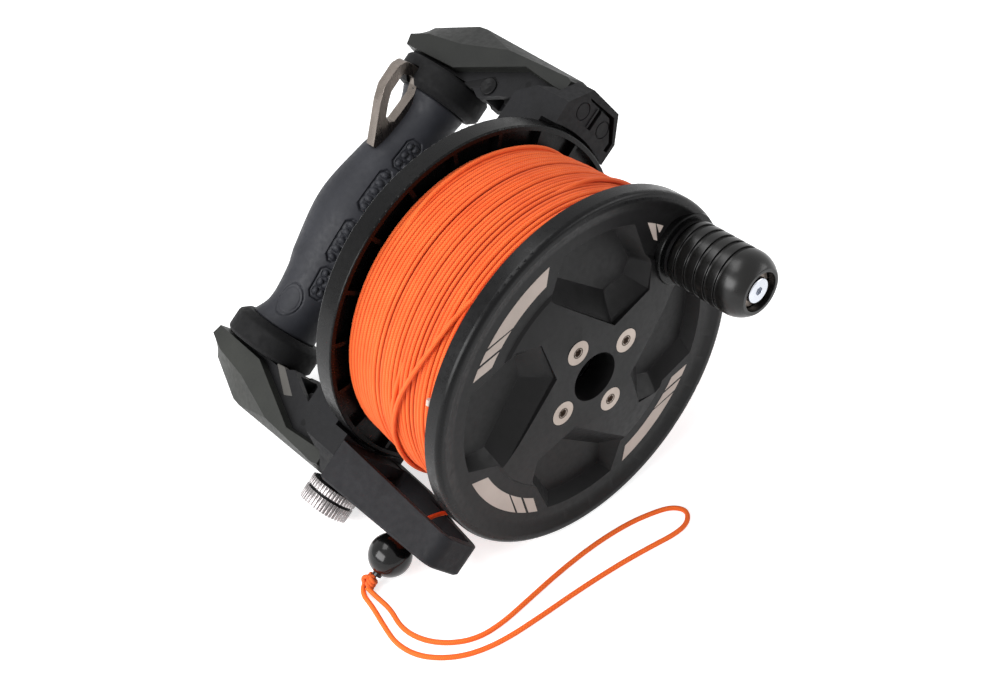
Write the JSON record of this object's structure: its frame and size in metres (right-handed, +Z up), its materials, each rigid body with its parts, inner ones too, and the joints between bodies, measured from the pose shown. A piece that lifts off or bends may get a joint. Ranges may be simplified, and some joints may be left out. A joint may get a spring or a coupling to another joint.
{
  "type": "dive reel",
  "caption": "Hand-held dive reel: a line-filled spool with dished flanges and a crank knob, in a two-armed frame with a cross grip, brake knob, line guide and stopper ball.",
  "frame": {"origin": "centre of the hub hole, in the plane of the front rim", "axes": "+X along the spool axis towards the crank, +Z up; the reel stands on both rims and on the brake knob"},
  "size_m": [0.211, 0.1849, 0.15],
  "materials": {
    "flange": "satin black",
    "bush": "smooth bearing plastic",
    "screw_steel": "stainless, fine turned",
    "line": "braided line",
    "lanyard": "braided cord",
    "axle_metal": "anodised",
    "crank": "black anodised, satin",
    "frame": "fine grain",
    "guide": "fine grain",
    "cover": "fine grain",
    "grip": "soft touch",
    "collar": "satin",
    "ring_steel": "satin stainless",
    "knurl": "knurled stainless",
    "knob": "satin black",
    "ball": "polished"
  },
  "bodies": {
    "frame": {"thrust_washer": "bush", "upper_frame_screw": "screw_steel", "lower_frame_screw": "screw_steel", "upper_cover_screw": "screw_steel", "lower_cover_screw": "screw_steel", "guide_screw_1": "screw_steel", "guide_screw_2": "screw_steel", "upper_lever_pin": "screw_steel", "lower_lever_pin": "screw_steel", "upper_lever_spring": "screw_steel", "lower_lever_spring": "screw_steel", "upper_core_pin": "screw_steel", "lower_core_pin": "screw_steel", "axle_ring": "screw_steel", "lead_line": "line", "lanyard_loop": "lanyard", "line_knot": "lanyard", "axle": "axle_metal", "axle_nut": "axle_metal", "handle_core": "axle_metal", "frame_bar": "frame", "upper_side_frame": "frame", "lower_side_frame": "frame", "line_guide": "guide", "upper_arm_cover": "cover", "lower_arm_cover": "cover", "grip": "grip", "upper_collar": "collar", "lower_collar": "collar", "d_ring": "ring_steel", "stopper_ball": "ball"},
    "spool": {"spool_front_flange": "flange", "spool_rear_flange": "flange", "spool_drum": "flange", "front_bush": "bush", "rear_bush": "bush", "flange_screw_1": "screw_steel", "flange_screw_2": "screw_steel", "flange_screw_3": "screw_steel", "flange_screw_4": "screw_steel", "line_core": "line", "line_winding": "line", "crank_spindle": "axle_metal", "crank_washer": "screw_steel", "crank_screw": "screw_steel"},
    "crank": {"crank_knob": "crank"},
    "upper_release": {"upper_lever": "frame"},
    "lower_release": {"lower_lever": "frame"},
    "brake": {"brake_knob": "knob", "brake_ring_inner": "knurl", "brake_ring_outer": "knurl"},
    "shoe": {"brake_shoe": "knob"}
  },
  "joints": [
    {"name": "spool_spin", "type": "hinge", "parent": "frame", "child": "spool", "pos_m": [0, 0, 0], "axis": [1, 0, 0], "continuous": true},
    {"name": "crank_spin", "type": "hinge", "parent": "spool", "child": "crank", "pos_m": [0, 0.0494, 0.0328], "axis": [1, 0, 0], "continuous": true},
    {"name": "brake_turn", "type": "hinge", "parent": "frame", "child": "brake", "pos_m": [-0.074, -0.07893, -0.06141], "axis": [0, 0.7893, 0.6141], "range_deg": [0, 320]},
    {"name": "shoe_slide", "type": "slide", "parent": "frame", "child": "shoe", "axis": [0, 0.7893, 0.6141], "range_m": [0, 0.0005]},
    {"name": "upper_lever_press", "type": "hinge", "parent": "frame", "child": "upper_release", "pos_m": [-0.10104, 0.06667, 0.05187], "axis": [0, 0.6141, -0.7893], "range_deg": [0, 8], "stiffness_Nm_per_rad": 0.05, "springref_deg": -11.46},
    {"name": "lower_lever_press", "type": "hinge", "parent": "frame", "child": "lower_release", "pos_m": [-0.10104, -0.06667, -0.05187], "axis": [0, -0.6141, 0.7893], "range_deg": [0, 8], "stiffness_Nm_per_rad": 0.05, "springref_deg": -11.46}
  ],
  "couplings": [
    {"joint": "shoe_slide", "follows": "brake_turn", "m_per_rad": 0.000079577}
  ]
}
